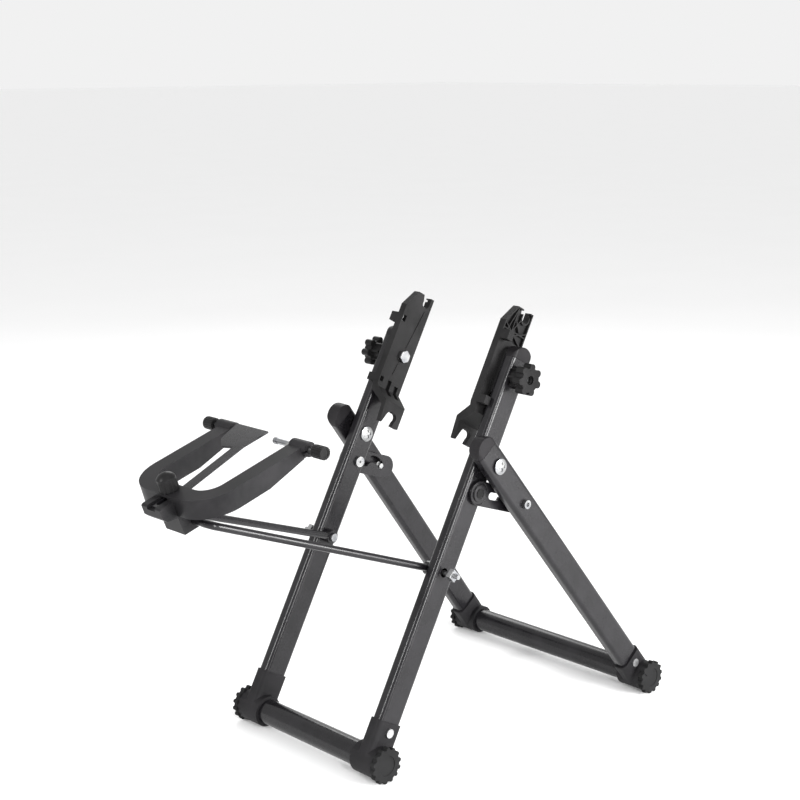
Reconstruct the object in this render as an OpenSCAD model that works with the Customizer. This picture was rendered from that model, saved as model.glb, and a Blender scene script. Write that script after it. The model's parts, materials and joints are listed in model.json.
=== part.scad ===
// Folding wheel truing stand, millimetres.
// X runs along the axle, Y towards the rear foot, Z up from the floor.
// Right-hand pieces are drawn at +X and mirrored for the left.

/* [Stance] */
// height of the axle seats above the floor
axle_z = 446.7; // [440:0.1:455]
// how far the front foot tube stands ahead of the axle
front_reach = 239.1; // [232:0.1:246]
// lean of the arms from the horizontal, degrees
arm_deg = 61.33; // [61:0.01:61.6]
// distance from the front foot axis to the fold pivot, along the arm
pivot_s = 326.8; // [324:0.1:330]
// distance from the fold pivot to the rear foot axis, along the leg
leg_reach = 365.3; // [362:0.1:368]
// outward splay of each rear leg, degrees
splay_deg = 3; // [2.6:0.1:3.4]

/* [Arms and legs] */
// width of the flat tube, front to back
flat_w = 30; // [29.8:0.1:30.2]
// thickness of the flat tube, side to side
flat_t = 15; // [14.8:0.1:15.2]
// outside corner radius of the flat tube
flat_r = 5; // [4.5:0.1:5.5]
// wall of the flat tube
flat_wall = 1.5; // [1.2:0.1:1.8]
// distance of each arm's centre plane from the wheel plane
arm_x = 93; // [92.8:0.1:93.2]
// distance of each leg's centre plane from the wheel plane, at the pivot
leg_x = 113.5; // [113.4:0.1:113.8]
// height of the arm tube's top end along the arm
arm_top_s = 442; // [441:0.1:443]
// how far the leg tube runs above the pivot
leg_top = 23; // [22:0.1:24]
// length of the plug inside each end cap
plug_len = 12; // [10:0.5:14]

/* [Feet] */
// radius of the foot tubes
foot_r = 13.5; // [13.3:0.1:13.7]
// wall of the foot tubes
foot_wall = 1.5; // [1.2:0.1:1.8]
// height of the foot tube axes above the floor
foot_z = 19; // [18.8:0.1:19.2]
// how far the foot tubes run past the tees' collars
tube_over = 0.6; // [0.4:0.1:1]
// thickness of the foot caps' lobed flange
cap_t = 6; // [5.5:0.1:6.5]
// radius to the tips of the foot cap lobes
cap_r = 19.5; // [19.4:0.05:19.8]
// number of lobes on a foot cap
cap_lobes = 14; // [14:1:14]
// radius of one lobe
lobe_r = 2.4; // [2.2:0.1:2.6]
// length of the tees' collars along the foot tubes
collar_len = 32; // [31:0.5:33]
// outside radius of the tees' collars
collar_r = 17; // [16.7:0.1:17.3]
// wall of the tees' box sleeves
sleeve_wall = 2.2; // [2:0.1:2.4]
// height of the front tees' sleeves along the arm
front_sleeve = 41; // [40:0.5:42]
// height of the rear tees' sleeves along the leg
rear_sleeve = 31.5; // [31:0.5:33]
// where the flat tubes end inside the tees, from the foot axis
tube_start = 17.5; // [17.2:0.1:18]
// radius of the rivet heads
rivet_head_r = 4.8; // [4.4:0.1:5]
// height of the rivet heads
rivet_head_t = 1.8; // [1.6:0.1:2]
// radius of the rivet shanks
rivet_r = 2.4; // [2.2:0.1:2.6]
// front rivet's height along the arm
front_rivet_s = 31; // [30:0.5:32]
// rear rivet's height along the leg
rear_rivet_s = 23; // [22.5:0.5:24]

/* [Fold pivot and links] */
// radius of the fold pivot bolts
pivot_r = 4; // [3.9:0.05:4.1]
// radius of the pivot heads
pivot_head_r = 8.5; // [8.2:0.1:8.8]
// thickness of the pivot heads
pivot_head_t = 3; // [2.8:0.1:3.2]
// radius of the spacer between arm and leg
spacer_r = 8; // [7.8:0.1:8.2]
// running clearance between turning pieces
run_gap = 0.08; // [0.06:0.01:0.1]
// free gap between pieces that pass each other
free_gap = 0.4; // [0.3:0.05:0.5]
// link hinge position along the arm
link_s = 294.6; // [294:0.1:295.2]
// link hinge position off the arm's centre line
link_n = 4; // [3.8:0.1:4.2]
// link stud position down the leg from the pivot
stud_t = 60; // [59.6:0.1:60.4]
// radius of the link hinge screws and link studs
link_pin_r = 3; // [2.9:0.05:3.1]
// thickness of the slotted links
link_t = 3.6; // [3.5:0.05:3.8]
// radius of the link ends
link_end_r = 13.2; // [13:0.1:13.4]
// half width of the link's slot
slot_half = 3.9; // [3.7:0.1:4]
// angle through which the legs fold, degrees
fold_deg = 56; // [54:1:57]
// link turn for each degree of leg fold
link_ratio = 1.5; // [1.49:0.01:1.51]
// height of the link's raised boss rings
boss_h = 1; // [0.8:0.1:1.1]

/* [Axle supports] */
// inner face of the upper seat plate, from the wheel plane
seat_in = 72.2; // [72:0.1:72.6]
// outer face of the upper seat plate
seat_out = 80.7; // [80.5:0.1:81]
// inner face of the lower hook
hook_in = 55.4; // [55:0.1:56]
// outer face of the lower hook
hook_out = 60.9; // [60.5:0.1:61.4]
// radius of the axle notch
axle_r = 5.3; // [5.2:0.05:5.4]
// radius of the lower hook's seat
hook_r = 5.2; // [5.1:0.05:5.3]
// how far the guide tabs reach outward from the wheel plane
tab_out = 91.2; // [91:0.1:91.5]
// front face of the guide tabs, ahead of the arm's centre line
tab_front = 24; // [23.8:0.1:24.4]
// height of the upper seat plate
plate_len = 114; // [113:0.5:115]
// how far the plate stands above the axle seat's centre
plate_over = 8.6; // [8.4:0.1:8.8]
// how far the lower hook reaches below the seat plate
hook_len = 43; // [42:0.5:44]
// height of the clamp bolt above the seat plate's lower end
clamp_up = 38.4; // [38:0.1:39]
// clamp bolt position off the arm's centre line
clamp_n = -2; // [-2.2:0.1:-1.8]
// radius of the clamp bolts
clamp_r = 4; // [3.9:0.05:4.1]
// across flats of the clamp bolt heads
hex_af = 13; // [12.8:0.1:13.2]
// thickness of the clamp bolt heads
hex_t = 5.3; // [5.1:0.1:5.5]
// inner end of the star knobs' neck, from the wheel plane
knob_in = 100.9; // [100.8:0.1:101.2]
// length of the star knobs' neck
knob_neck = 11.5; // [11:0.1:12]
// thickness of the star knobs' head
knob_t = 10.5; // [10:0.1:11]
// number of arms on a star knob
knob_arms = 7; // [7:1:7]

/* [Caliper arm] */
// caliper pivot position along the arm
rod_pivot_s = 204; // [203.5:0.1:204.5]
// caliper pivot position off the arm's centre line
rod_pivot_n = -2; // [-2.2:0.1:-1.8]
// radius of the bent rod
rod_r = 4; // [3.9:0.05:4.1]
// distance of the rod's ends from the wheel plane
rod_x = 80; // [79.8:0.1:80.2]
// distance of the rod's front corners from the wheel plane
rod_front_x = 40; // [39.5:0.1:40.5]
// length of the caliper arm from pivot to cross bar
rod_len = 268.9; // [268:0.1:270]
// rise of the caliper arm, degrees from the horizontal
rod_deg = 19.8; // [19.6:0.1:20]
// bend radius at the rod's front corners
rod_bend = 12; // [11.5:0.1:12.5]
// radius of the eyes at the rod's ends
eye_r = 7.5; // [7.3:0.1:7.7]
// radius of the caliper pivot bolts
rod_bolt_r = 2.5; // [2.4:0.05:2.6]
// how far the caliper pivot bolts stand out past the arms
rod_bolt_over = 21; // [20:0.1:22]
// side of the square nuts
nut_side = 10; // [9.8:0.1:10.2]

/* [Caliper head] */
// tilt of the caliper head from the horizontal, degrees
head_deg = 17.43; // [17.4:0.01:17.5]
// height of the fork's top face above the cross bar's axis
fork_rise = 33.7; // [33.4:0.1:34]
// how far the fork's front edge stands ahead of the cross bar's axis
fork_lead = 16.1; // [15.8:0.1:16.4]
// length of the jaws behind the fork's round corners
jaw_len = 83; // [82:0.5:84]
// how far the base block's nose stands ahead of the fork
nose_len = 16.5; // [16:0.1:17]
// depth of the base block below the fork's top
base_depth = 42.5; // [42:0.1:43]
// thickness of the fork's top and walls
fork_t = 3; // [2.8:0.1:3.2]
// depth of the fork's walls
fork_depth = 20.5; // [20:0.1:21]
// inner edge of the jaws from the wheel plane
jaw_in = 46; // [45.8:0.1:46.2]
// width of the jaws
jaw_w = 20; // [19.8:0.1:20.2]
// half width of the base block
base_half = 15.5; // [15.3:0.1:15.7]
// thickness of the gauge blade
blade_t = 2; // [1.8:0.1:2.1]
// half width of the gauge bar
bar_half = 6; // [5.9:0.1:6.1]
// radius of the gauge clamp stud
stud_r = 3; // [2.9:0.05:3.1]
// radius of the gauge clamp knob
clamp_knob_r = 10; // [9.8:0.1:10.2]
// height of the gauge clamp knob
clamp_knob_h = 18.5; // [18:0.1:19]
// how far the gauge clamp stud reaches below the gauge bar
stud_below = 14; // [13.5:0.1:14.5]
// length of the base block behind the fork's front edge
base_run = 21; // [20.5:0.1:21.5]
// radius of the side screws
side_r = 3; // [2.9:0.05:3.1]
// radius of the side screw knobs
side_knob_r = 6.8; // [6.6:0.1:7]
// inner end of the side screw knobs, from the wheel plane
side_knob_x = 79; // [78.5:0.1:80]
// length of the side screw knobs
side_knob_len = 14.5; // [14:0.1:15]
// distance of the side screws' tips from the wheel plane
side_tip = 18; // [17.5:0.1:18.5]

/* [Output] */
// sub-part to draw

/* [Hidden] */
$fn = 64;
cut = 1;

// direction of the arms and of the rear legs in the Y-Z plane
arm_c = cos(arm_deg);
arm_q = sin(arm_deg);
pivot_y = -front_reach + pivot_s * arm_c;
pivot_z = foot_z + pivot_s * arm_q;
// the legs lean so that both foot tubes stand at the same height
leg_down = leg_reach * cos(splay_deg);
leg_deg = 180 - asin((pivot_z - foot_z) / leg_down);
leg_c = cos(leg_deg);
leg_q = sin(leg_deg);
rear_y = pivot_y - leg_down * leg_c;
rear_foot_x = leg_x + leg_reach * sin(splay_deg);
front_half = arm_x + collar_len / 2 + tube_over;
rear_half = rear_foot_x + collar_len / 2 + tube_over;

// the arm's tube ends 85.5 and 100.5 mm from the wheel plane
arm_in = arm_x - flat_t / 2;
arm_out = arm_x + flat_t / 2;
leg_in = leg_x - flat_t / 2;
leg_out = leg_x + flat_t / 2;

// axle seat in the arm's frame, and the clamp bolt below it
seat_s = (axle_z - foot_z) * arm_q + front_reach * arm_c;
seat_n = front_reach * arm_q - (axle_z - foot_z) * arm_c;
seat_up = plate_len - plate_over;
plate_low = seat_s - seat_up;
clamp_s = plate_low + clamp_up;

// link geometry in the Y-Z plane, seen from the fold pivot
link_y = -front_reach + link_s * arm_c + link_n * arm_q;
link_z = foot_z + link_s * arm_q - link_n * arm_c;
stud_y0 = pivot_y - stud_t * cos(splay_deg) * leg_c;
stud_z0 = pivot_z - stud_t * cos(splay_deg) * leg_q;
link_deg = atan2(stud_z0 - link_z, stud_y0 - link_y);
stud_x0 = leg_x + stud_t * sin(splay_deg);
link_in = arm_out + free_gap;

// caliper arm frame
rod_y = -front_reach + rod_pivot_s * arm_c + rod_pivot_n * arm_q;
rod_z = foot_z + rod_pivot_s * arm_q - rod_pivot_n * arm_c;
bar_y = rod_y - rod_len * cos(rod_deg);
bar_z = rod_z + rod_len * sin(rod_deg);
// the cross bar seen in the head's own axes
bar_a = bar_y * cos(head_deg) + bar_z * sin(head_deg);
bar_h = bar_z * cos(head_deg) - bar_y * sin(head_deg);

// caliper head stations, along the head's own axes
fork_h = bar_h + fork_rise;
front_a = bar_a - fork_lead;
bend_x = 26;
bend_a = front_a + jaw_in + jaw_w - bend_x;
tip_a = bend_a + jaw_len;
screw_a = tip_a + 6;
screw_h = fork_h - 4;
clamp_a = front_a + 9;
nose_a = front_a - nose_len;
blade_lo = fork_h - 8;
blade_hi = fork_h + 1.5;
blade_front = clamp_a - 21;
blade_bend = clamp_a + 16;
nose_h = fork_h - 6.5;

// the front end is the nose's upper edge, the rear end a lobe of a rear foot cap
front_y = nose_a * cos(head_deg) - nose_h * sin(head_deg);
back_y = rear_y + lobe_r + (cap_r - lobe_r) * cos(360 / cap_lobes / 4);
// middle of the stand's length, which becomes Y = 0
mid_y = (front_y + back_y) / 2;

// rounded rectangle, w across X and h across Y
module rrect(w, h, r) {
    square([w - 2 * r, h], center = true);
    square([w, h - 2 * r], center = true);
    for (sx = [-1, 1])
        for (sy = [-1, 1])
            translate([sx * (w / 2 - r), sy * (h / 2 - r)])
                circle(r);
}

// lengthwise cylinder along X from x0 to x1
module x_rod(r, x0, x1) {
    translate([x0, 0, 0])
        rotate([0, 90, 0])
            cylinder(r = r, h = x1 - x0);
}

// a 2-D outline in (Y, Z) made into a slab from x0 to x1
module x_slab(x0, x1) {
    translate([x0, 0, 0])
        rotate([90, 0, 90])
            linear_extrude(height = x1 - x0)
                children();
}

// a 2-D outline in (X, Z) made into a slab from y0 to y1
module y_slab(y0, y1) {
    translate([0, y1, 0])
        rotate([90, 0, 0])
            linear_extrude(height = y1 - y0)
                children();
}

// arm frame: Z along the arm, Y square to it, origin on the front foot axis
module on_arm() {
    translate([0, -front_reach, foot_z])
        rotate([arm_deg - 90, 0, 0])
            children();
}

// right leg frame: Z down the leg, origin on the leg's centre at the pivot
module on_leg() {
    translate([leg_x, pivot_y, pivot_z])
        rotate([leg_deg - 270, 0, 0])
            rotate([0, splay_deg, 0])
                children();
}

// frame of the fold pivot axis
module on_pivot() {
    translate([0, pivot_y, pivot_z])
        children();
}

// frame of the caliper head: Y along the jaws, Z square to them
module on_head() {
    rotate([head_deg, 0, 0])
        children();
}

module both() {
    children();
    mirror([1, 0, 0])
        children();
}

// moves everything so that the middle of the stand is at Y = 0
module place() {
    translate([0, -mid_y, 0])
        children();
}

// ---- feet ----

module foot_tube(half) {
    difference() {
        x_rod(foot_r, -half, half);
        x_rod(foot_r - foot_wall, -half - cut, half + cut);
    }
}

module cap_outline() {
    circle(cap_r - lobe_r);
    for (i = [0:cap_lobes - 1])
        rotate(i * 360 / cap_lobes + 360 / cap_lobes / 4)
            translate([cap_r - lobe_r, 0])
                circle(lobe_r, $fn = 24);
}

module foot_cap(half) {
    difference() {
        union() {
            x_slab(half, half + cap_t)
                cap_outline();
            x_rod(foot_r - foot_wall, half - plug_len, half + cut);
        }
        x_rod(foot_r - 2 * foot_wall, half + cap_t - 0.8, half + cap_t + cut);
        x_rod(foot_r - 3 * foot_wall, half - plug_len - cut, half + cut);
        translate([half - cut, -cap_r - cut, -cap_r - cut])
            cube([cap_t + 2 * cut, 2 * cap_r + 2 * cut, cap_r + cut - foot_z]);
    }
}

module tee(sleeve, rivet_s) {
    difference() {
        union() {
            x_rod(collar_r, -collar_len / 2, collar_len / 2);
            linear_extrude(height = sleeve)
                rrect(flat_t + 2 * sleeve_wall, flat_w + 2 * sleeve_wall, flat_r + sleeve_wall);
        }
        x_rod(foot_r, -collar_len, collar_len);
        translate([0, 0, tube_start])
            linear_extrude(height = sleeve)
                rrect(flat_t, flat_w, flat_r);
        translate([0, 0, rivet_s])
            x_rod(rivet_r, 0, flat_t);
    }
}

module rivet() {
    head_x = flat_t / 2 + sleeve_wall;
    x_rod(rivet_r, flat_t / 2 - flat_wall - 1, head_x + rivet_head_t / 2);
    x_rod(rivet_head_r, head_x, head_x + rivet_head_t);
    x_rod(rivet_r + 0.8, flat_t / 2 - flat_wall - 1, flat_t / 2 - flat_wall);
}

module front_foot_tube() {
    color([0.09, 0.09, 0.1])
        translate([0, -front_reach, foot_z])
            foot_tube(front_half);
}

module rear_foot_tube() {
    color([0.09, 0.09, 0.1])
        translate([0, rear_y, foot_z])
            foot_tube(rear_half);
}

module front_tee() {
    color([0.12, 0.12, 0.13])
        on_arm()
            translate([arm_x, 0, 0])
                tee(front_sleeve, front_rivet_s);
}

// rear tee: the collar follows the foot tube, the sleeve follows the splayed leg
module rear_tee() {
    color([0.12, 0.12, 0.13])
        difference() {
            union() {
                translate([rear_foot_x, rear_y, foot_z])
                    x_rod(collar_r, -collar_len / 2, collar_len / 2);
                on_leg()
                    translate([0, 0, leg_reach - rear_sleeve])
                        linear_extrude(height = rear_sleeve)
                            rrect(flat_t + 2 * sleeve_wall, flat_w + 2 * sleeve_wall, flat_r + sleeve_wall);
            }
            translate([rear_foot_x, rear_y, foot_z])
                x_rod(foot_r, -collar_len, collar_len);
            on_leg()
                translate([0, 0, leg_reach - tube_start - 2 * rear_sleeve])
                    linear_extrude(height = 2 * rear_sleeve)
                        rrect(flat_t, flat_w, flat_r);
            on_leg()
                translate([0, 0, leg_reach - rear_rivet_s])
                    x_rod(rivet_r, 0, flat_t);
        }
}

module front_foot_cap() {
    color([0.05, 0.05, 0.05])
        translate([0, -front_reach, foot_z])
            foot_cap(front_half);
}

module rear_foot_cap() {
    color([0.05, 0.05, 0.05])
        translate([0, rear_y, foot_z])
            foot_cap(rear_half);
}

module front_tee_rivets() {
    color([0.75, 0.75, 0.77])
        both()
            on_arm()
                translate([arm_x, 0, front_rivet_s])
                    rivet();
}

module rear_tee_rivets() {
    color([0.75, 0.75, 0.77])
        both()
            on_leg()
                translate([0, 0, leg_reach - rear_rivet_s])
                    rivet();
}

// ---- arms and legs ----

module flat_tube(len) {
    linear_extrude(height = len)
        difference() {
            rrect(flat_t, flat_w, flat_r);
            rrect(flat_t - 2 * flat_wall, flat_w - 2 * flat_wall, flat_r - flat_wall);
        }
}

// rounded plug that closes a flat tube, its joint with the tube at Z = 0
module flat_cap() {
    intersection() {
        linear_extrude(height = flat_w)
            rrect(flat_t, flat_w, flat_r);
        x_slab(-flat_t, flat_t)
            circle(flat_w / 2);
    }
    translate([0, 0, -plug_len])
        linear_extrude(height = plug_len + cut)
            rrect(flat_t - 2 * flat_wall, flat_w - 2 * flat_wall, flat_r - flat_wall);
}

module arm() {
    color([0.1, 0.1, 0.11])
        difference() {
            on_arm()
                translate([arm_x, 0, tube_start])
                    flat_tube(arm_top_s - tube_start);
            on_pivot()
                x_rod(pivot_r, arm_in - cut, arm_out + cut);
            on_arm()
                translate([0, link_n, link_s])
                    x_rod(link_pin_r, arm_in - cut, arm_out + cut);
            on_arm()
                translate([0, clamp_n, clamp_s])
                    x_rod(clamp_r + free_gap, arm_in - cut, arm_out + cut);
            on_arm()
                translate([0, rod_pivot_n, rod_pivot_s])
                    x_rod(rod_bolt_r, arm_in - cut, arm_x);
            on_arm()
                translate([0, rod_pivot_n, rod_pivot_s])
                    x_rod(2 * rod_bolt_r, arm_x, arm_out + cut);
            on_arm()
                translate([0, 0, front_rivet_s])
                    x_rod(rivet_r, arm_x, arm_out + cut);
        }
}

module arm_cap() {
    color([0.07, 0.07, 0.07])
        difference() {
            on_arm()
                translate([arm_x, 0, arm_top_s])
                    flat_cap();
            on_arm()
                translate([0, clamp_n, clamp_s])
                    x_rod(2 * clamp_r, arm_in, arm_out);
        }
}

module leg() {
    color([0.1, 0.1, 0.11])
        difference() {
            on_leg()
                translate([0, 0, -leg_top])
                    flat_tube(leg_reach - tube_start + leg_top);
            on_pivot()
                x_rod(pivot_r + run_gap, arm_out, leg_out + flat_t);
            translate([0, stud_y0, stud_z0])
                x_rod(link_pin_r, arm_out, leg_out + flat_t);
            on_leg()
                translate([0, 0, leg_reach - rear_rivet_s])
                    x_rod(rivet_r, 0, flat_t);
        }
}

module leg_cap() {
    color([0.07, 0.07, 0.07])
        on_leg()
            translate([0, 0, -leg_top])
                mirror([0, 0, 1])
                    flat_cap();
}

// ---- fold pivot ----

module recess_cross(r, depth) {
    for (a = [0, 90])
        rotate([a, 0, 0])
            translate([-depth, -r / 5, -r / 1.7])
                cube([depth + cut, r / 2.5, 2 * r / 1.7]);
}

// headed pin along X with a cross recess; the head is outside
module cross_head(r, t) {
    difference() {
        intersection() {
            x_rod(r, 0, t);
            translate([t - 3.2 * r, 0, 0])
                sphere(r = 3.2 * r, $fn = 96);
        }
        translate([t, 0, 0])
            recess_cross(r, t / 2);
    }
}

leg_face_x = leg_out + pivot_head_r * sin(splay_deg) + 0.2;

module fold_pivot_bolts() {
    color([0.8, 0.8, 0.82])
        both()
            on_pivot() {
                x_rod(pivot_r, arm_in, leg_face_x + 0.5);
                translate([leg_face_x, 0, 0])
                    cross_head(pivot_head_r, pivot_head_t);
            }
}

module fold_pivot_screws() {
    color([0.8, 0.8, 0.82])
        both()
            on_pivot()
                translate([arm_in, 0, 0])
                    mirror([1, 0, 0])
                        cross_head(pivot_head_r, pivot_head_t);
}

module fold_pivot_spacers() {
    color([0.6, 0.6, 0.62])
        both()
            on_pivot()
                difference() {
                    x_rod(spacer_r, arm_out, leg_in - spacer_r * sin(splay_deg) - 0.1);
                    x_rod(pivot_r, arm_in, leg_out);
                }
}

// ---- folding links ----

module link_hinge_screws() {
    color([0.8, 0.8, 0.82])
        both()
            translate([0, link_y, link_z])
                difference() {
                    union() {
                        x_rod(link_pin_r, arm_in - 0.5, link_in + link_t + 0.6);
                        x_rod(2 * link_pin_r, arm_in - 3, arm_in);
                        x_rod(1.6 * link_pin_r, link_in + link_t + 0.2, link_in + link_t + 0.8);
                    }
                    x_rod(link_pin_r / 2, arm_in - 4, arm_in - 1);
                }
}

module link_studs() {
    color([0.8, 0.8, 0.82])
        both()
            translate([0, stud_y0, stud_z0])
                difference() {
                    union() {
                        x_rod(link_pin_r, link_in - 0.2, stud_x0 + flat_t / 2 + 1);
                        x_rod(1.6 * link_pin_r, stud_x0 + flat_t / 2 + 0.3, stud_x0 + flat_t / 2 + 4);
                        x_rod(1.6 * link_pin_r, link_in + link_t + 0.3, stud_x0 - flat_t / 2 - 0.3);
                    }
                    x_rod(0.8 * link_pin_r, stud_x0 + flat_t / 2 + 2, stud_x0 + flat_t / 2 + 5);
                }
}

// stud position for a leg folded by f degrees, in the link's own axes
function turn(v, a) = [v[0] * cos(a) - v[1] * sin(a), v[0] * sin(a) + v[1] * cos(a)];
function stud_at(f) =
    let (p = turn([stud_y0 - pivot_y, stud_z0 - pivot_z], -f))
    turn([p[0] + pivot_y - link_y, p[1] + pivot_z - link_z], link_ratio * f - link_deg);
function slot_dir(f) =
    let (d = stud_at(f + 0.5) - stud_at(f - 0.5))
    d / norm(d);
fold_steps = [for (i = [0:22]) i * fold_deg / 22];
slot_side = [for (f = fold_steps) let (d = slot_dir(f)) stud_at(f) + slot_half * [-d[1], d[0]]];
slot_other = [for (i = [0:22]) let (f = fold_steps[22 - i], d = slot_dir(f))
    stud_at(f) - slot_half * [-d[1], d[0]]];

// the slot runs on straight towards the link's hinge
slot_end = stud_at(fold_deg);
slot_near = [18.5, slot_end[1]];
slot_nrm = [0, 1];

module slot_outline() {
    polygon(concat(slot_side, slot_other));
    translate(stud_at(0))
        circle(slot_half, $fn = 32);
    translate(slot_end)
        circle(slot_half, $fn = 32);
    translate(slot_near)
        circle(slot_half, $fn = 32);
    polygon([
        slot_end + slot_half * slot_nrm, slot_near + slot_half * slot_nrm,
        slot_near - slot_half * slot_nrm, slot_end - slot_half * slot_nrm,
    ]);
}

link_far = 58;

module link_outline() {
    circle(link_end_r);
    translate([link_far, 0])
        circle(link_end_r);
    translate([0, -link_end_r])
        square([link_far, 2 * link_end_r]);
}

// the link lies in its own axes: X towards the stud, then turned into place
module lock_link() {
    color([0.13, 0.13, 0.14])
        translate([0, link_y, link_z])
            rotate([link_deg, 0, 0])
                difference() {
                    union() {
                        x_slab(link_in, link_in + link_t)
                            link_outline();
                        x_rod(link_end_r - 4, link_in, link_in + link_t + boss_h);
                    }
                    x_slab(link_in - cut, link_in + link_t + 2 * cut)
                        slot_outline();
                    x_rod(link_pin_r + run_gap, link_in - cut, link_in + link_t + 2 * cut);
                    x_rod(1.6 * link_pin_r + 1, link_in + link_t, link_in + link_t + 2 * cut);
                    x_slab(link_in + link_t - 0.6, link_in + link_t + 2 * cut)
                        difference() {
                            circle(link_end_r - 1.4);
                            circle(link_end_r - 4);
                        }
                }
}

// ---- axle supports ----

// the adapter is drawn in its own frame: Z = 0 at the seat plate's lower end
hook_low = -hook_len;
hook_up = hook_low + 9.5;
hook_n = 1.8;
// where the step between hook and plate starts, on its inner side
step_low = -17.5;
// rim left standing round the rib pockets, thickness of the ribs, depth of the pockets
rim = 1.6;
rib_t = 1.3;
rib_depth = 3.5;
// room ribbed above the arm's end
rib_low = plate_len - 39.5;
plate_back = flat_w / 2 - 0.5;

module adapter_outline() {
    polygon([
        [-16, hook_low + 0.5], [-18.5, step_low], [-tab_front, 0],
        [-tab_front, plate_len - 20], [-tab_front / 2, plate_len], [plate_back, plate_len],
        [plate_back, hook_low],
    ]);
}

module adapter_side() {
    polygon([
        [hook_in, hook_low], [hook_out, hook_low], [hook_out, step_low - 5.5],
        [seat_out, step_low + 8], [seat_out, plate_len], [seat_in, plate_len],
        [seat_in, step_low + 13], [hook_in, step_low],
    ]);
}

module axle_notch() {
    translate([seat_n, seat_up])
        circle(axle_r);
    polygon([
        [seat_n - axle_r + 0.7, seat_up], [seat_n + axle_r, seat_up],
        [seat_n + axle_r, plate_len + cut], [seat_n - axle_r - 2.5, plate_len + cut],
    ]);
}

module hook_notch() {
    translate([hook_n, hook_up])
        circle(hook_r);
    polygon([
        [hook_n - 16, hook_low - cut], [hook_n - 11, hook_up + 2.5], [hook_n - 8.4, hook_up + 5.6],
        [hook_n - 4.8, hook_up + 6.3], [hook_n, hook_up + 4.2], [hook_n + 4.6, hook_up],
        [hook_n + 2.4, hook_low - cut],
    ]);
}

// stiffening ribs left standing on the outer face round the axle notch
module rib_net() {
    difference() {
        adapter_outline();
        rib_field();
    }
    translate([seat_n, seat_up])
        circle(axle_r + rim);
    // each rib: its start across the plate, its start above the ribbed room, its angle, its length
    for (rib = [[-24, 11, 0, 44], [-16.5, 11, 74, 30], [-9, 11, 62, 26], [-9.7, 25, -45, 16.6],
            [-9, 11, 90, 28], [-24, -1, 24, 44], [14, -1, 152, 44]])
        translate([rib[0], rib_low + rib[1]])
            rotate(rib[2])
                square([rib[3], rib_t]);
}

module rib_field() {
    polygon([
        [-tab_front + rim, 0], [-tab_front + rim, plate_len - 20.8],
        [-tab_front / 2 + rim / 2, plate_len - rim], [plate_back - rim, plate_len - rim],
        [plate_back - rim, 0],
    ]);
}

module rib_pockets() {
    difference() {
        translate([-tab_front + rim, rib_low])
            square([plate_back + tab_front - 2 * rim, plate_len - rib_low]);
        rib_net();
    }
}

// low ridge that slants up the inner face and stops short of the clamp bolt's head
module inner_ridge() {
    difference() {
        polygon([
            [ridge_low[0], ridge_low[1]], [ridge_low[0] + ridge_w, ridge_low[1]],
            [ridge_top[0] + ridge_w, ridge_top[1]], [ridge_top[0], ridge_top[1]],
        ]);
        translate([clamp_n, clamp_up])
            circle(hex_af - 3);
    }
}

module guide_tab(up, high) {
    translate([seat_in, -tab_front, up])
        cube([tab_out - seat_in, tab_front - flat_w / 2 - free_gap, high]);
}

// window through the plate beside a guide tab, left by the mould
module tab_window(up, high) {
    translate([seat_in - cut, -tab_front + rim, up + rim])
        cube([seat_out - seat_in + 2 * cut, 5, high - 2 * rim]);
}

module on_adapter() {
    on_arm()
        translate([0, 0, plate_low])
            children();
}

ridge_low = [-7.2, 14.5];
ridge_top = [5.8, plate_len - 17.5];
ridge_w = 1.3;
ridge_h = 0.7;
pad_mid = 40.5;
pad_len = 52;
pad_wide = 24;
tab_low = 9;
tab_high = 10.5;
// the upper tab sits beside the start of the ribbed room
tab_up = rib_low - 1.5;

module dropout_adapter() {
    color([0.11, 0.11, 0.11])
        on_adapter()
            difference() {
                union() {
                    intersection() {
                        x_slab(hook_in, seat_out)
                            adapter_outline();
                        y_slab(-2 * tab_front, 2 * tab_front)
                            adapter_side();
                    }
                    guide_tab(tab_up, tab_high);
                    guide_tab(0, tab_low);
                    x_slab(seat_in - ridge_h, seat_in + cut)
                        inner_ridge();
                    x_slab(seat_out - cut, arm_in - 0.15)
                        translate([0, pad_mid])
                            rrect(pad_wide, pad_len, 3);
                }
                x_slab(hook_in - cut, seat_out + cut)
                    axle_notch();
                x_slab(hook_in - cut, hook_out + cut)
                    hook_notch();
                x_slab(seat_out - rib_depth, seat_out + cut)
                    rib_pockets();
                x_slab(seat_out, arm_in)
                    difference() {
                        translate([0, pad_mid])
                            rrect(pad_wide - 5, pad_len - 5, 1.5);
                        translate([clamp_n, clamp_up])
                            circle(2 * clamp_r);
                    }
                tab_window(tab_up, tab_high);
                tab_window(0, tab_low);
                translate([0, clamp_n, clamp_up])
                    x_rod(clamp_r, hook_in, arm_in + cut);
                // lightening pockets where the plate steps in to the hook
                for (pocket = [[-9.5, 19], [3, 16]])
                    translate([seat_in - 8, pocket[0], step_low + 5])
                        cube([12, 6, pocket[1]]);
            }
}

module adapter_bolt() {
    color([0.8, 0.8, 0.82])
        on_arm()
            translate([0, clamp_n, clamp_s]) {
                x_rod(clamp_r, seat_in - cut, knob_in + knob_neck + knob_t - 6);
                translate([seat_in - hex_t, 0, 0])
                    rotate([0, 90, 0])
                        cylinder(r = hex_af / 2 / cos(30), h = hex_t, $fn = 6);
            }
}

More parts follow.
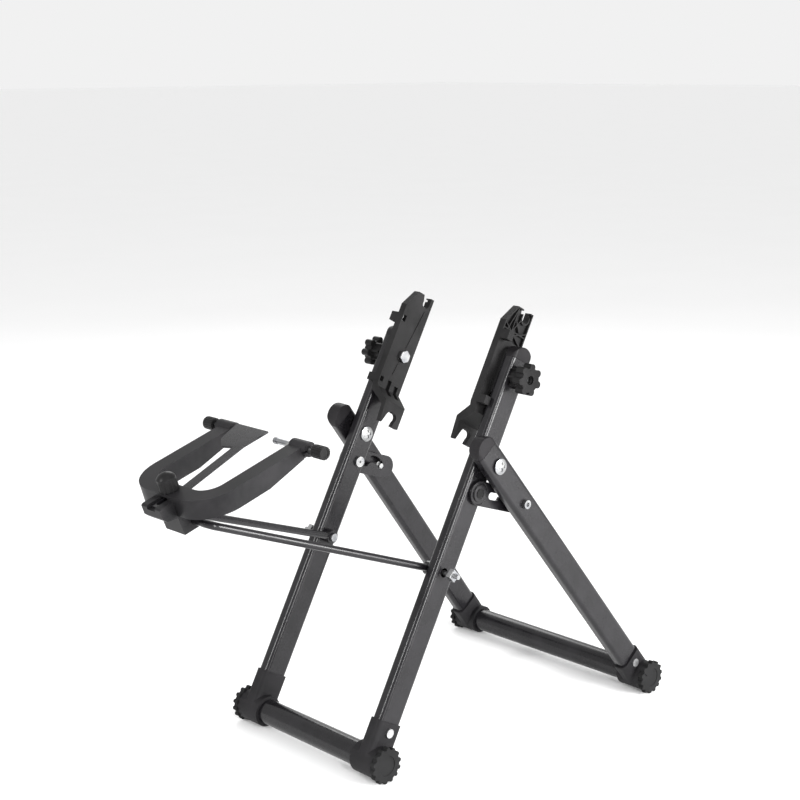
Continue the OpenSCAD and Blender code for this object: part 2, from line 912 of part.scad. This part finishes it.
module star_knob() {
    color([0.06, 0.06, 0.06])
        on_arm()
            translate([knob_in, clamp_n, clamp_s])
                difference() {
                    union() {
                        x_rod(9, 0, knob_neck + cut);
                        for (i = [0:knob_arms - 1])
                            rotate([i * 360 / knob_arms, 0, 0])
                                translate([0, -1.2, 0])
                                    cube([knob_neck + cut, 2.4, 12.2]);
                        x_slab(knob_neck, knob_neck + knob_t)
                            star_outline();
                    }
                    x_rod(clamp_r + run_gap, -cut, knob_neck + knob_t + cut);
                    x_rod(clamp_r + 0.8, knob_neck + knob_t - 3, knob_neck + knob_t + cut);
                }
}

module star_outline() {
    circle(13);
    for (i = [0:knob_arms - 1])
        rotate(i * 360 / knob_arms)
            translate([13.4, 0])
                circle(3.9, $fn = 32);
}

// ---- caliper arm ----

module on_rod() {
    translate([0, rod_y, rod_z])
        rotate([-rod_deg, 0, 0])
            mirror([0, 1, 0])
                children();
}

// angle by which each side rod leans inward
rod_lean = atan((rod_x - rod_front_x) / rod_len);
side_len = norm([rod_x - rod_front_x, rod_len]);
corner_cut = rod_bend * tan((90 - rod_lean) / 2);
corner_turn = 90 - rod_lean;
eye_in = rod_x - rod_r - 0.5;
// the bends swell a little, and the straight rods run into them by as much
bend_lap = 0.06;

module rod_side() {
    // straight rod from the eye to the start of the front bend
    translate([rod_x, 0, 0])
        rotate([0, 0, rod_lean])
            rotate([-90, 0, 0])
                cylinder(r = rod_r, h = side_len - corner_cut + bend_lap);
    // front bend
    translate([rod_front_x - corner_cut, rod_len - rod_bend, 0])
        rotate([0, 0, 90 - corner_turn])
            rotate_extrude(angle = corner_turn)
                translate([rod_bend, 0])
                    circle(rod_r + bend_lap);
    x_rod(eye_r, eye_in, arm_in - free_gap);
}

module caliper_arm() {
    color([0.08, 0.08, 0.09])
        on_rod()
            difference() {
                union() {
                    both()
                        rod_side();
                    translate([0, rod_len, 0])
                        x_rod(rod_r, -rod_front_x + corner_cut - bend_lap, rod_front_x - corner_cut + bend_lap);
                }
                both()
                    x_rod(rod_bolt_r + run_gap, eye_in - cut, arm_out);
            }
}

module caliper_pivot_bolts() {
    color([0.8, 0.8, 0.82])
        both()
            translate([0, rod_y, rod_z]) {
                x_rod(rod_bolt_r, eye_in - 1, arm_out + rod_bolt_over);
                x_rod(4.6, eye_in - 3.4, eye_in - 0.3);
            }
}

module caliper_pivot_nuts() {
    color([0.8, 0.8, 0.82])
        both()
            translate([arm_out + 9, rod_y, rod_z])
                rotate([45, 0, 0])
                    difference() {
                        translate([0, -nut_side / 2, -nut_side / 2])
                            cube([6, nut_side, nut_side]);
                        x_rod(rod_bolt_r, -cut, 7);
                    }
}

// ---- caliper head ----

// plan of the fork: w0 is the inner offset, w1 the outer one, from the jaw's inner edge
module fork_plan(w0, w1) {
    for (s = [0, 1])
        mirror([s, 0]) {
            translate([jaw_in + w0, bend_a])
                square([w1 - w0, tip_a - bend_a]);
            translate([bend_x, bend_a])
                intersection() {
                    difference() {
                        circle(jaw_in - bend_x + w1);
                        circle(jaw_in - bend_x + w0);
                    }
                    translate([0, -60])
                        square([60, 60]);
                }
        }
    translate([-bend_x, bend_a - (jaw_in - bend_x + w1)])
        square([2 * bend_x, w1 - w0]);
}

module caliper_fork() {
    color([0.14, 0.14, 0.15])
        on_head()
            difference() {
                union() {
                    translate([0, 0, fork_h - fork_t])
                        linear_extrude(height = fork_t)
                            fork_plan(0, jaw_w);
                    translate([0, 0, fork_h - fork_depth])
                        linear_extrude(height = fork_depth) {
                            fork_plan(jaw_w - fork_t, jaw_w);
                            difference() {
                                fork_plan(0, fork_t);
                                square([2 * bend_x + 8, 900], center = true);
                            }
                        }
                    both()
                        tip_boss();
                }
                // the jaws' lower edges rise towards their tips
                x_slab(-90, 90)
                    polygon([
                        [screw_a - 53, fork_h - fork_depth], [screw_a + 12, fork_h - fork_depth + 11],
                        [screw_a + 12, fork_h - fork_depth - 5], [screw_a - 53, fork_h - fork_depth - 5],
                    ]);
                both()
                    translate([0, screw_a, screw_h])
                        x_rod(side_r + run_gap, jaw_in - 2, 82);
                // split between the two ears
                both()
                    translate([jaw_in + jaw_w + 1, screw_a - 12, screw_h - 1.2])
                        cube([5, 24, 2.4]);
                // mouth for the base block's nose
                translate([-base_half - 0.3, front_a - 2, fork_h - fork_depth - cut])
                    cube([2 * base_half + 0.6, 8, fork_depth - fork_t + cut]);
                translate([0, clamp_a, fork_h - fork_t - cut])
                    cylinder(r = 5.4, h = fork_t + 2 * cut);
            }
}

module tip_boss() {
    translate([0, screw_a, screw_h])
        x_rod(7.6, jaw_in + 1, jaw_in + jaw_w + 5);
    translate([jaw_in, tip_a - cut, fork_h - 12])
        cube([jaw_w, screw_a - tip_a + 4, 12]);
}

base_back = front_a + base_run;

module base_side() {
    polygon([
        [nose_a + 2, fork_h - 5], [nose_a, nose_h], [nose_a + 0.5, fork_h - fork_depth + 4.5],
        [nose_a + 4, fork_h - fork_depth], [front_a, fork_h - fork_depth - 2],
        [front_a + 1.5, fork_h - base_depth], [base_back - 1, fork_h - base_depth],
        [base_back, fork_h - fork_t], [front_a, fork_h - fork_t], [front_a, fork_h - 5],
    ]);
}

module caliper_base() {
    color([0.1, 0.1, 0.11])
        on_head()
            difference() {
                x_slab(-base_half, base_half)
                    base_side();
                // channel for the gauge bar
                translate([-bar_half - free_gap, nose_a - cut, blade_lo - blade_t / 2 - run_gap])
                    cube([2 * bar_half + 2 * free_gap, base_back - nose_a + 2 * cut, base_depth]);
                translate([0, bar_a, bar_h])
                    x_rod(rod_r + run_gap, -base_half - cut, base_half + cut);
                translate([0, clamp_a, blade_lo - stud_below])
                    cylinder(r = stud_r, h = base_depth);
            }
}

// the gauge bar's slot, from the clamp stud
slot_front = -14;
slot_rear = 14;
// the clamp knob's rounded top
clamp_dome_r = 11.5;

module blade_plan() {
    difference() {
        polygon([
            [-bar_half, blade_front], [bar_half, blade_front], [bar_half, screw_a + 3],
            [-jaw_in + 1.5, screw_a + 3], [-34, screw_a - 27], [-20, screw_a - 38],
            [-bar_half, screw_a - 35],
        ]);
        for (a = [slot_front, slot_rear])
            translate([0, clamp_a + a])
                circle(stud_r + 0.2);
        translate([-stud_r - 0.2, clamp_a + slot_front])
            square([2 * stud_r + 0.4, slot_rear - slot_front]);
    }
}

module blade_side() {
    half = blade_t / 2;
    polygon([
        [blade_front, blade_lo - half], [blade_bend, blade_lo - half],
        [screw_a - 30, blade_hi - half], [screw_a + 8, blade_hi - half],
        [screw_a + 8, blade_hi + half], [screw_a - 30, blade_hi + half],
        [blade_bend, blade_lo + half], [blade_front, blade_lo + half],
    ]);
}

module gauge_blade() {
    color([0.07, 0.07, 0.08])
        on_head()
            intersection() {
                translate([0, 0, blade_lo - 10])
                    linear_extrude(height = 30)
                        blade_plan();
                x_slab(-jaw_in, jaw_in)
                    blade_side();
            }
}

module gauge_clamp_stud() {
    color([0.75, 0.75, 0.77])
        on_head()
            translate([0, clamp_a, blade_lo - stud_below])
                cylinder(r = stud_r, h = stud_below + 13);
}

module gauge_clamp_knob() {
    color([0.06, 0.06, 0.06])
        on_head()
            translate([0, clamp_a, fork_h + free_gap])
                difference() {
                    union() {
                        linear_extrude(height = 0.55 * clamp_knob_h)
                            difference() {
                                circle(clamp_knob_r);
                                for (i = [0:13])
                                    rotate(i * 360 / 14)
                                        translate([clamp_knob_r + 0.6, 0])
                                            circle(1.5, $fn = 16);
                            }
                        intersection() {
                            cylinder(r = clamp_knob_r - 0.4, h = clamp_knob_h);
                            translate([0, 0, clamp_knob_h - clamp_dome_r])
                                sphere(r = clamp_dome_r);
                        }
                        translate([0, 0, blade_lo + blade_t / 2 + run_gap - fork_h - free_gap])
                            cylinder(r = 5, h = 9);
                    }
                    translate([0, 0, -20])
                        cylinder(r = stud_r + run_gap, h = 26);
                }
}

module side_screw() {
    color([0.75, 0.75, 0.77])
        on_head()
            translate([0, screw_a, screw_h]) {
                x_rod(side_r, side_tip + 1, side_knob_x + side_knob_len - 4);
                x_rod(side_r + 0.6, side_tip, side_tip + 5);
            }
}

module side_screw_knob() {
    color([0.06, 0.06, 0.06])
        on_head()
            translate([side_knob_x, screw_a, screw_h])
                difference() {
                    x_slab(0, side_knob_len)
                        difference() {
                            circle(side_knob_r);
                            for (i = [0:17])
                                rotate(i * 20)
                                    translate([side_knob_r + 0.4, 0])
                                        circle(0.9, $fn = 16);
                        }
                    x_rod(side_r + run_gap, -cut, side_knob_len - 3);
                    x_rod(side_knob_r - 2.5, side_knob_len - 0.8, side_knob_len + cut);
                }
}

place() front_foot_tube();
place() front_tee();  // front_tee_right
place() mirror([1, 0, 0]) front_tee();  // front_tee_left
place() front_foot_cap();  // front_foot_cap_right
place() mirror([1, 0, 0]) front_foot_cap();  // front_foot_cap_left
place() arm();  // arm_right
place() mirror([1, 0, 0]) arm();  // arm_left
place() arm_cap();  // arm_cap_right
place() mirror([1, 0, 0]) arm_cap();  // arm_cap_left
place() front_tee_rivets();
place() fold_pivot_bolts();
place() fold_pivot_screws();
place() fold_pivot_spacers();
place() link_hinge_screws();
place() caliper_pivot_bolts();
place() caliper_pivot_nuts();
place() rear_foot_tube();
place() rear_tee();  // rear_tee_right
place() mirror([1, 0, 0]) rear_tee();  // rear_tee_left
place() rear_foot_cap();  // rear_foot_cap_right
place() mirror([1, 0, 0]) rear_foot_cap();  // rear_foot_cap_left
place() leg();  // leg_right
place() mirror([1, 0, 0]) leg();  // leg_left
place() leg_cap();  // leg_cap_right
place() mirror([1, 0, 0]) leg_cap();  // leg_cap_left
place() rear_tee_rivets();
place() link_studs();
place() lock_link();  // lock_link_right
place() mirror([1, 0, 0]) lock_link();  // lock_link_left
place() dropout_adapter();  // dropout_adapter_right
place() mirror([1, 0, 0]) dropout_adapter();  // dropout_adapter_left
place() adapter_bolt();  // adapter_bolt_right
place() mirror([1, 0, 0]) adapter_bolt();  // adapter_bolt_left
place() star_knob();  // star_knob_right
place() mirror([1, 0, 0]) star_knob();  // star_knob_left
place() caliper_arm();
place() caliper_base();
place() caliper_fork();
place() gauge_blade();
place() gauge_clamp_stud();
place() gauge_clamp_knob();
place() side_screw();  // side_screw_right
place() mirror([1, 0, 0]) side_screw();  // side_screw_left
place() side_screw_knob();  // side_screw_knob_right
place() mirror([1, 0, 0]) side_screw_knob();  // side_screw_knob_left
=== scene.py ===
"""Folding wheel truing stand, dressed around the CAD frame. Metres, Z up, floor at z = 0."""

import json
import math

import bmesh
import bpy
from mathutils import Matrix, Vector


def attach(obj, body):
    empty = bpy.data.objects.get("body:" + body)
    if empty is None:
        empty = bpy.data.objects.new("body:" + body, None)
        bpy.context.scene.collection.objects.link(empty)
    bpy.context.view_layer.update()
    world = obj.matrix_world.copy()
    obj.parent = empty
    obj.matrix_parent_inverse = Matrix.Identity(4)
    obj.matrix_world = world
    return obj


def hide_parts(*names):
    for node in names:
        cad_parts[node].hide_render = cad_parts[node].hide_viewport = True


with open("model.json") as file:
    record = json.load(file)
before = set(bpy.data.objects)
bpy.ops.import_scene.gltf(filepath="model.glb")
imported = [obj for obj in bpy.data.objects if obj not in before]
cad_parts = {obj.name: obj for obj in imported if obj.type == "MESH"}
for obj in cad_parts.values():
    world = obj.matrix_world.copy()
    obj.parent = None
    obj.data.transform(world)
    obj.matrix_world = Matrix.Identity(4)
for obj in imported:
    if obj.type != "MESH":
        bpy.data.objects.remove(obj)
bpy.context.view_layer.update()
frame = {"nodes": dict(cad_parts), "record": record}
BODY_OF = {node: body for body, nodes in frame["record"]["behaviour"]["bodies"].items() for node in nodes}
SLOT_OF = {part["node"]: part["material_slot"] for part in frame["record"]["subparts"]}


# ---------------------------------------------------------------- materials


class Nodes:
    """A material's node tree, with short calls for the nodes used here."""

    def __init__(self, name, **sockets):
        self.material = bpy.data.materials.new(name)
        self.material.use_nodes = True
        self.tree = self.material.node_tree
        self.shader = self.tree.nodes["Principled BSDF"]
        for label, value in sockets.items():
            self.shader.inputs[label.replace("_", " ")].default_value = value
        self.coords = self.tree.nodes.new("ShaderNodeTexCoord").outputs["Object"]

    def link(self, source, target):
        self.tree.links.new(source, target)

    def noise(self, scale, detail=4.0, roughness=0.55, stretch=None):
        node = self.tree.nodes.new("ShaderNodeTexNoise")
        node.inputs["Scale"].default_value = scale
        node.inputs["Detail"].default_value = detail
        node.inputs["Roughness"].default_value = roughness
        coords = self.coords
        if stretch:
            mapping = self.tree.nodes.new("ShaderNodeMapping")
            mapping.inputs["Scale"].default_value = stretch
            self.link(coords, mapping.inputs["Vector"])
            coords = mapping.outputs["Vector"]
        self.link(coords, node.inputs["Vector"])
        return node.outputs["Fac"]

    def add(self, first, second, share):
        """The first value plus a share of the second."""
        node = self.tree.nodes.new("ShaderNodeMath")
        node.operation = "MULTIPLY_ADD"
        self.link(second, node.inputs[0])
        node.inputs[1].default_value = share
        self.link(first, node.inputs[2])
        return node.outputs[0]

    def colour(self, fac, stops):
        """Base colour from a ramp with (place, colour) stops."""
        node = self.tree.nodes.new("ShaderNodeValToRGB")
        ramp = node.color_ramp
        for element, (place, colour) in zip(ramp.elements, stops):
            element.position = place
            element.color = (*colour, 1.0)
        self.link(fac, node.inputs["Fac"])
        self.link(node.outputs["Color"], self.shader.inputs["Base Color"])

    def roughness(self, fac, span, rough):
        """Roughness from a value, with the value's span mapped to the range of roughness."""
        node = self.tree.nodes.new("ShaderNodeMapRange")
        node.inputs["From Min"].default_value, node.inputs["From Max"].default_value = span
        node.inputs["To Min"].default_value, node.inputs["To Max"].default_value = rough
        self.link(fac, node.inputs["Value"])
        self.link(node.outputs["Result"], self.shader.inputs["Roughness"])

    def bump(self, height, strength, distance):
        node = self.tree.nodes.new("ShaderNodeBump")
        node.inputs["Strength"].default_value = strength
        node.inputs["Distance"].default_value = distance
        self.link(height, node.inputs["Height"])
        self.link(node.outputs["Normal"], self.shader.inputs["Normal"])


def coated(name, dark, light, rough, grain, depth):
    """Black powder coat: cloudy gloss, fine grain, a slow waviness in the surface."""
    n = Nodes(name, Metallic=0.0, Specular_IOR_Level=0.2, Coat_Weight=0.25, Coat_Roughness=0.16)
    cloud = n.noise(scale=38.0, detail=5.0, roughness=0.6)
    fine = n.noise(scale=grain, detail=3.0, roughness=0.5)
    wave = n.noise(scale=210.0, detail=2.0)
    n.colour(n.add(cloud, fine, share=0.25), stops=[(0.4, dark), (0.85, light)])
    n.roughness(n.add(cloud, fine, share=0.4), span=(0.45, 0.95), rough=rough)
    n.bump(n.add(fine, wave, share=1.4), strength=0.12, distance=depth)
    return n.material


def moulded(name, dark, light, rough, grain, depth):
    """Black moulded plastic: spark-eroded texture with scuffs that catch the light."""
    n = Nodes(name, Metallic=0.0, Specular_IOR_Level=0.12)
    cloud = n.noise(scale=26.0, detail=4.0, roughness=0.55)
    scuff = n.noise(scale=9.0, detail=8.0, roughness=0.72, stretch=(1.0, 6.0, 2.2))
    fine = n.noise(scale=grain, detail=2.0, roughness=0.5)
    n.colour(n.add(cloud, scuff, share=0.5), stops=[(0.5, dark), (0.95, light)])
    n.roughness(n.add(cloud, scuff, share=0.6), span=(0.5, 1.1), rough=rough)
    n.bump(fine, strength=0.22, distance=depth)
    return n.material


def plated(name, dark, light, rough, stretch):
    """Bright plain metal: fine turned marks and a faint cloudiness."""
    n = Nodes(name, Metallic=1.0)
    cloud = n.noise(scale=90.0, detail=4.0, roughness=0.6)
    lines = n.noise(scale=900.0, detail=2.0, roughness=0.5, stretch=stretch)
    n.colour(n.add(cloud, lines, share=0.3), stops=[(0.45, dark), (0.9, light)])
    n.roughness(n.add(cloud, lines, share=0.5), span=(0.5, 1.0), rough=rough)
    n.bump(lines, strength=0.1, distance=0.00008)
    return n.material


MATERIALS = {
    "frame_paint": coated(
        "satin_black_coat",
        dark=(0.005, 0.0047, 0.0055),
        light=(0.011, 0.0102, 0.012),
        rough=(0.22, 0.34),
        grain=1500.0,
        depth=0.00006,
    ),
    "tee_plastic": moulded(
        "moulded_black_fitting",
        dark=(0.006, 0.006, 0.0065),
        light=(0.017, 0.016, 0.0175),
        rough=(0.42, 0.6),
        grain=1700.0,
        depth=0.00012,
    ),
    "foot_rubber": moulded(
        "matt_black_rubber",
        dark=(0.006, 0.006, 0.006),
        light=(0.017, 0.017, 0.0175),
        rough=(0.6, 0.82),
        grain=1300.0,
        depth=0.0002,
    ),
    "end_cap_plastic": moulded(
        "satin_black_cap",
        dark=(0.006, 0.0055, 0.006),
        light=(0.016, 0.015, 0.0165),
        rough=(0.38, 0.52),
        grain=1900.0,
        depth=0.00008,
    ),
    "adapter_plastic": moulded(
        "moulded_black_adapter",
        dark=(0.006, 0.006, 0.006),
        light=(0.018, 0.0175, 0.018),
        rough=(0.4, 0.58),
        grain=1500.0,
        depth=0.00014,
    ),
    "caliper_plastic": moulded(
        "satin_black_caliper",
        dark=(0.007, 0.007, 0.0077),
        light=(0.021, 0.020, 0.0215),
        rough=(0.34, 0.5),
        grain=1600.0,
        depth=0.0001,
    ),
    "knob_plastic": moulded(
        "black_knob_plastic",
        dark=(0.005, 0.005, 0.005),
        light=(0.014, 0.0135, 0.014),
        rough=(0.26, 0.44),
        grain=1200.0,
        depth=0.00008,
    ),
    "zinc_hardware": plated(
        "bright_zinc_plate",
        dark=(0.24, 0.245, 0.26),
        light=(0.44, 0.44, 0.43),
        rough=(0.26, 0.40),
        stretch=(1.0, 0.06, 0.06),
    ),
    "rivet_aluminium": plated(
        "bright_rivet_aluminium",
        dark=(0.32, 0.32, 0.33),
        light=(0.52, 0.52, 0.52),
        rough=(0.3, 0.46),
        stretch=(0.3, 1.0, 1.0),
    ),
}


# ---------------------------------------------------------------- dressed pieces

SAME_POINT = 0.000004  # points closer than this are one point
FLAT_ANGLE = math.radians(0.6)  # faces that meet flatter than this are one face
BEVEL_ANGLE = math.radians(32.0)  # edges sharper than this get rounded
CREASE_ANGLE = math.radians(40.0)  # edges sharper than this keep a crease in the shading
BEVEL_SEGMENTS = 2
FLATTEN_WEIGHT = 80
OUTSIDE_ARMS = 0.1008  # beyond this distance from the middle, a hinge screw is in a link's recess, where its end is painted black as shade

# Width of the rounded edges, by node. A name without a side stands for its right and left node.
SOFT_EDGES = {
    "caliper_fork": 0.0014,
    "caliper_base": 0.0009,
    "front_tee": 0.0006,
    "rear_tee": 0.0006,
    "front_foot_cap": 0.0005,
    "rear_foot_cap": 0.0005,
    "star_knob": 0.0008,
    "gauge_clamp_knob": 0.0006,
    "side_screw_knob": 0.0004,
    "lock_link": 0.0004,
    "gauge_blade": 0.0003,
    "adapter_bolt": 0.0004,
    "caliper_pivot_nuts": 0.0005,
    "arm_cap": 0.0010,
    "leg_cap": 0.0010,
}


def cad_mesh(node):
    return frame["nodes"][node].data


def linked(name, data):
    """A new object in the scene."""
    piece = bpy.data.objects.new(name, data)
    bpy.context.scene.collection.objects.link(piece)
    return piece


def stand_in(piece, node):
    """The piece takes a CAD node's place and moves with its body."""
    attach(piece, BODY_OF[node])
    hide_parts(node)


def dressed(mesh, node):
    mesh.materials.clear()
    mesh.materials.append(MATERIALS[SLOT_OF[node]])


def cleaned(mesh):
    """Joins double points and flat neighbouring faces, so that the bevel meets plain edges."""
    work = bmesh.new()
    work.from_mesh(mesh)
    bmesh.ops.remove_doubles(work, verts=work.verts, dist=SAME_POINT)
    bmesh.ops.dissolve_degenerate(work, edges=work.edges, dist=SAME_POINT)
    bmesh.ops.dissolve_limit(
        work, angle_limit=FLAT_ANGLE, verts=work.verts, edges=work.edges, delimit={"NORMAL"}
    )
    work.to_mesh(mesh)
    work.free()


def applied(piece):
    """The piece's mesh with its modifiers applied and then taken off."""
    graph = bpy.context.evaluated_depsgraph_get()
    mesh = bpy.data.meshes.new_from_object(piece.evaluated_get(graph))
    piece.modifiers.clear()
    piece.data = mesh
    return mesh


def soften(node, width):
    """Makes a copy of a CAD node with rounded edges, to stand in for it."""
    piece = linked(node + "_soft", cad_mesh(node).copy())
    cleaned(piece.data)
    bevel = piece.modifiers.new("bevel", "BEVEL")
    bevel.width = width
    bevel.segments = BEVEL_SEGMENTS
    bevel.limit_method = "ANGLE"
    bevel.angle_limit = BEVEL_ANGLE
    bevel.miter_outer = "MITER_ARC"
    mesh = applied(piece)
    for face in mesh.polygons:
        face.use_smooth = True
    mesh.set_sharp_from_angle(angle=CREASE_ANGLE)
    flatten = piece.modifiers.new("flatten", "WEIGHTED_NORMAL")
    flatten.weight = FLATTEN_WEIGHT
    flatten.keep_sharp = True
    dressed(applied(piece), node)
    stand_in(piece, node)


def paint_shade_on_screw_ends(node):
    """Hinge screws: bright inside the arms, with painted shade in black where they end in the links'
    recesses.
    """
    piece = linked(node + "_ends", cad_mesh(node).copy())
    piece.data.materials.append(MATERIALS["knob_plastic"])
    for face in piece.data.polygons:
        # faces in the recesses take the black knob plastic as painted shade
        face.material_index = int(abs(face.center.x) > OUTSIDE_ARMS)
    stand_in(piece, node)


for name, edge in SOFT_EDGES.items():
    for side in ("", "_right", "_left"):
        if name + side in frame["nodes"]:
            soften(name + side, edge)
for name in frame["nodes"]:
    dressed(cad_mesh(name), name)
paint_shade_on_screw_ends("link_hinge_screws")


# ---------------------------------------------------------------- floor, light, camera

FLOOR_REACH = 40
FLOOR_SIGNS = [(-1, -1), (1, -1), (1, 1), (-1, 1)]
floor_corners = [(x * FLOOR_REACH, y * FLOOR_REACH, 0) for x, y in FLOOR_SIGNS]
floor_mesh = bpy.data.meshes.new("floor")
floor_mesh.from_pydata(floor_corners, [], [(0, 1, 2, 3)])
floor = linked("floor", floor_mesh)
pale = Nodes("pale_floor", Specular_IOR_Level=0.3)
pale.colour(
    pale.noise(scale=3.0, detail=2.0),
    stops=[(0.3, (0.955, 0.955, 0.955)), (0.7, (0.965, 0.965, 0.965))],
)
pale.roughness(pale.noise(scale=12.0), span=(0.3, 0.7), rough=(0.6, 0.7))
floor_mesh.materials.append(pale.material)

AIM = (0.0, 0.0, 0.24)


def area_light(name, place, size, power):
    """A rectangular lamp that faces the middle of the stand."""
    light = bpy.data.lights.new(name, "AREA")
    light.shape = "RECTANGLE"
    light.size, light.size_y = size
    light.energy = power
    lamp = linked(name, light)
    lamp.location = place
    lamp.rotation_euler = (Vector(AIM) - Vector(place)).to_track_quat("-Z", "Y").to_euler()


area_light("key_light", place=(1.99, -0.93, 1.0), size=(0.3, 0.8), power=30.0)
area_light("side_light", place=(2.1, 0.75, 0.7), size=(1.1, 0.9), power=80.0)
area_light("front_light", place=(-0.55, -2.2, 1.35), size=(0.16, 0.7), power=26.0)
area_light("back_light", place=(-1.6, 1.3, 1.5), size=(0.8, 0.8), power=8.0)

WORLD_BRIGHTNESS = 0.88
world = bpy.data.worlds.new("studio")
world.use_nodes = True
background = world.node_tree.nodes["Background"]
background.inputs["Color"].default_value = (1.0, 1.0, 1.0, 1.0)
background.inputs["Strength"].default_value = WORLD_BRIGHTNESS
bpy.context.scene.world = world
bpy.context.scene.view_settings.view_transform = "Standard"

# The camera that took the photo, in the stand's frame. Angles are in radians.
CAMERA_PLACE = (1.20630, -1.11329, 0.71750)
CAMERA_YAW = 0.8139
CAMERA_PITCH = 0.2109
CAMERA_ROLL = -0.0039
CAMERA_REACH = 120.0
SENSOR_WIDTH = 36.0
FOCAL_PIXELS = 1576.8
PHOTO_PIXELS = 800

ahead = Vector(
    (
        -math.sin(CAMERA_YAW) * math.cos(CAMERA_PITCH),
        math.cos(CAMERA_YAW) * math.cos(CAMERA_PITCH),
        -math.sin(CAMERA_PITCH),
    )
)
level = Vector((math.cos(CAMERA_YAW), math.sin(CAMERA_YAW), 0.0))
over = level.cross(ahead)
across = level * math.cos(CAMERA_ROLL) + over * math.sin(CAMERA_ROLL)
upward = over * math.cos(CAMERA_ROLL) - level * math.sin(CAMERA_ROLL)
turned = Matrix((across, upward, -ahead)).transposed().to_4x4()

camera_data = bpy.data.cameras.new("camera")
camera_data.sensor_width = SENSOR_WIDTH
camera_data.lens = FOCAL_PIXELS * SENSOR_WIDTH / PHOTO_PIXELS
camera_data.clip_end = CAMERA_REACH
camera = linked("camera", camera_data)
camera.matrix_world = Matrix.Translation(CAMERA_PLACE) @ turned
bpy.context.scene.camera = camera
